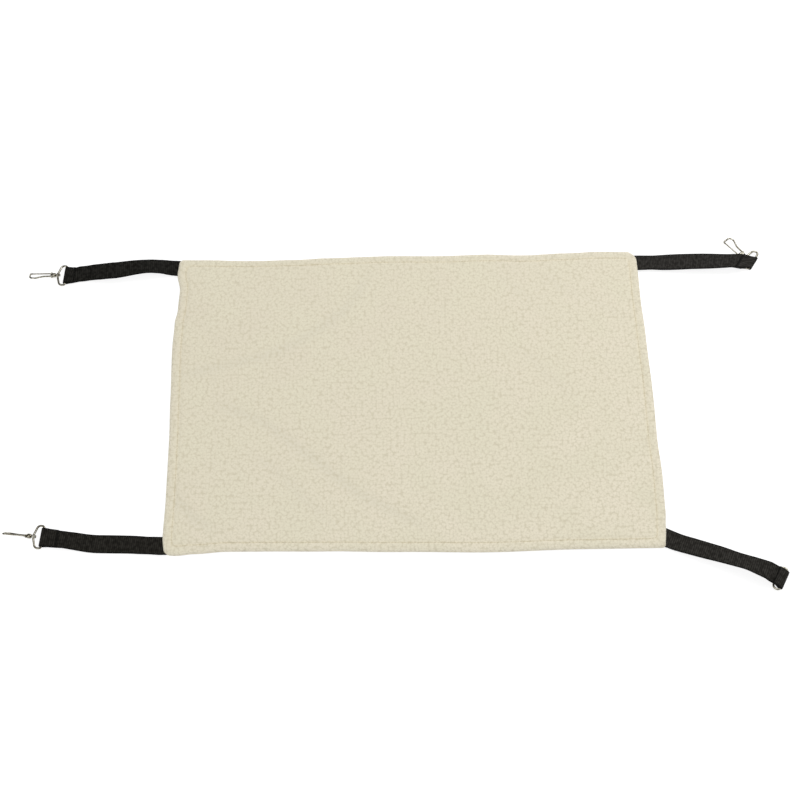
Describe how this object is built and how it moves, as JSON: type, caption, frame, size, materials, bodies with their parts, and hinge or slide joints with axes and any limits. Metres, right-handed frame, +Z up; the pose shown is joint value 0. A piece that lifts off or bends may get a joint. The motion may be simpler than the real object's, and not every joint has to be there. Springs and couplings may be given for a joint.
{
  "type": "cage cat hammock",
  "caption": "Cream fleece hammock mat with four black webbing straps and swivel snap hooks, lying flat, for hanging inside a pet cage.",
  "frame": {"origin": "centre of the mat's underside", "axes": "+Z up out of the fleece, +X along the mat's long side to the right as pictured, +Y towards the back, the picture's top"},
  "size_m": [0.7975, 0.4168, 0.0133],
  "materials": {
    "fleece": "short pile",
    "backing": "plain weave",
    "webbing": "woven, matt",
    "nickel": "nickel plated"
  },
  "bodies": {
    "mat": {"fleece_top": "fleece", "backing": "backing", "strap_tail_back_left": "webbing", "strap_tail_front_left": "webbing", "strap_tail_back_right": "webbing", "strap_tail_front_right": "webbing"},
    "strap_back_left": {"strap_back_left": "webbing"},
    "eye_back_left": {"eye_back_left": "nickel"},
    "hook_back_left": {"hook_back_left": "nickel", "swivel_rivet_back_left": "nickel", "gate_pin_back_left": "nickel"},
    "gate_back_left": {"gate_back_left": "nickel"},
    "strap_front_left": {"strap_front_left": "webbing"},
    "eye_front_left": {"eye_front_left": "nickel"},
    "hook_front_left": {"hook_front_left": "nickel", "swivel_rivet_front_left": "nickel", "gate_pin_front_left": "nickel"},
    "gate_front_left": {"gate_front_left": "nickel"},
    "strap_back_right": {"strap_back_right": "webbing"},
    "eye_back_right": {"eye_back_right": "nickel"},
    "hook_back_right": {"hook_back_right": "nickel", "swivel_rivet_back_right": "nickel", "gate_pin_back_right": "nickel"},
    "gate_back_right": {"gate_back_right": "nickel"},
    "strap_front_right": {"strap_front_right": "webbing"},
    "eye_front_right": {"eye_front_right": "nickel"},
    "hook_front_right": {"hook_front_right": "nickel", "swivel_rivet_front_right": "nickel", "gate_pin_front_right": "nickel"},
    "gate_front_right": {"gate_front_right": "nickel"}
  },
  "joints": [
    {"name": "strap_back_left_swing", "type": "hinge", "parent": "mat", "child": "strap_back_left", "pos_m": [-0.2527, 0.1638, 0.0022], "axis": [0, 1, 0], "range_deg": [-80, 90]},
    {"name": "eye_back_left_swing", "type": "hinge", "parent": "strap_back_left", "child": "eye_back_left", "pos_m": [-0.37283, 0.1575, 0.0027], "axis": [-0.0698, -0.9976, 0], "range_deg": [-140, 140]},
    {"name": "hook_back_left_swivel", "type": "hinge", "parent": "eye_back_left", "child": "hook_back_left", "pos_m": [-0.38189, 0.15814, 0.00321], "axis": [-0.9975, -0.0437, 0.0555], "continuous": true},
    {"name": "gate_back_left_open", "type": "hinge", "parent": "hook_back_left", "child": "gate_back_left", "pos_m": [-0.38907, 0.16046, 0.00216], "axis": [0.0276, 0.4809, 0.8763], "range_deg": [0, 15], "stiffness_Nm_per_rad": 0.05, "springref_deg": -17.19},
    {"name": "strap_front_left_swing", "type": "hinge", "parent": "mat", "child": "strap_front_left", "pos_m": [-0.2527, -0.1638, 0.0022], "axis": [0, 1, 0], "range_deg": [-80, 90]},
    {"name": "eye_front_left_swing", "type": "hinge", "parent": "strap_front_left", "child": "eye_front_left", "pos_m": [-0.37082, -0.15326, 0.00342], "axis": [-0.0837, -0.9965, 0], "range_deg": [-140, 140]},
    {"name": "hook_front_left_swivel", "type": "hinge", "parent": "eye_front_left", "child": "hook_front_left", "pos_m": [-0.37985, -0.1525, 0.00417], "axis": [-0.9921, 0.0938, 0.0828], "continuous": true},
    {"name": "gate_front_left_open", "type": "hinge", "parent": "hook_front_left", "child": "gate_front_left", "pos_m": [-0.38672, -0.15331, 0.00737], "axis": [-0.1223, -0.8674, -0.4824], "range_deg": [0, 15], "stiffness_Nm_per_rad": 0.05, "springref_deg": -17.19},
    {"name": "strap_back_right_swing", "type": "hinge", "parent": "mat", "child": "strap_back_right", "pos_m": [0.2527, 0.1638, 0.0022], "axis": [0, -1, 0], "range_deg": [-80, 90]},
    {"name": "eye_back_right_swing", "type": "hinge", "parent": "strap_back_right", "child": "eye_back_right", "pos_m": [0.37779, 0.16403, 0.0027], "axis": [-0.5446, -0.8387, 0], "range_deg": [0, 280]},
    {"name": "hook_back_right_swivel", "type": "hinge", "parent": "eye_back_right", "child": "hook_back_right", "pos_m": [0.37016, 0.16899, 0.0027], "axis": [-0.6428, 0.766, 0], "continuous": true},
    {"name": "gate_back_right_open", "type": "hinge", "parent": "hook_back_right", "child": "gate_back_right", "pos_m": [0.36336, 0.17242, 0.0027], "axis": [0, 0, -1], "range_deg": [0, 15], "stiffness_Nm_per_rad": 0.05, "springref_deg": -17.19},
    {"name": "strap_front_right_swing", "type": "hinge", "parent": "mat", "child": "strap_front_right", "pos_m": [0.2527, -0.16415, 0.0022], "axis": [0, -1, 0], "range_deg": [-80, 90]},
    {"name": "eye_front_right_swing", "type": "hinge", "parent": "strap_front_right", "child": "eye_front_right", "pos_m": [0.362, -0.21077, 0.0027], "axis": [-0.4802, -0.8771, 0], "range_deg": [0, 280]},
    {"name": "hook_front_right_swivel", "type": "hinge", "parent": "eye_front_right", "child": "hook_front_right", "pos_m": [0.35402, -0.2064, 0.0027], "axis": [-0.8771, 0.4802, 0], "continuous": true},
    {"name": "gate_front_right_open", "type": "hinge", "parent": "hook_front_right", "child": "gate_front_right", "pos_m": [0.34644, -0.20567, 0.0027], "axis": [0, 0, -1], "range_deg": [0, 15], "stiffness_Nm_per_rad": 0.05, "springref_deg": -17.19}
  ]
}
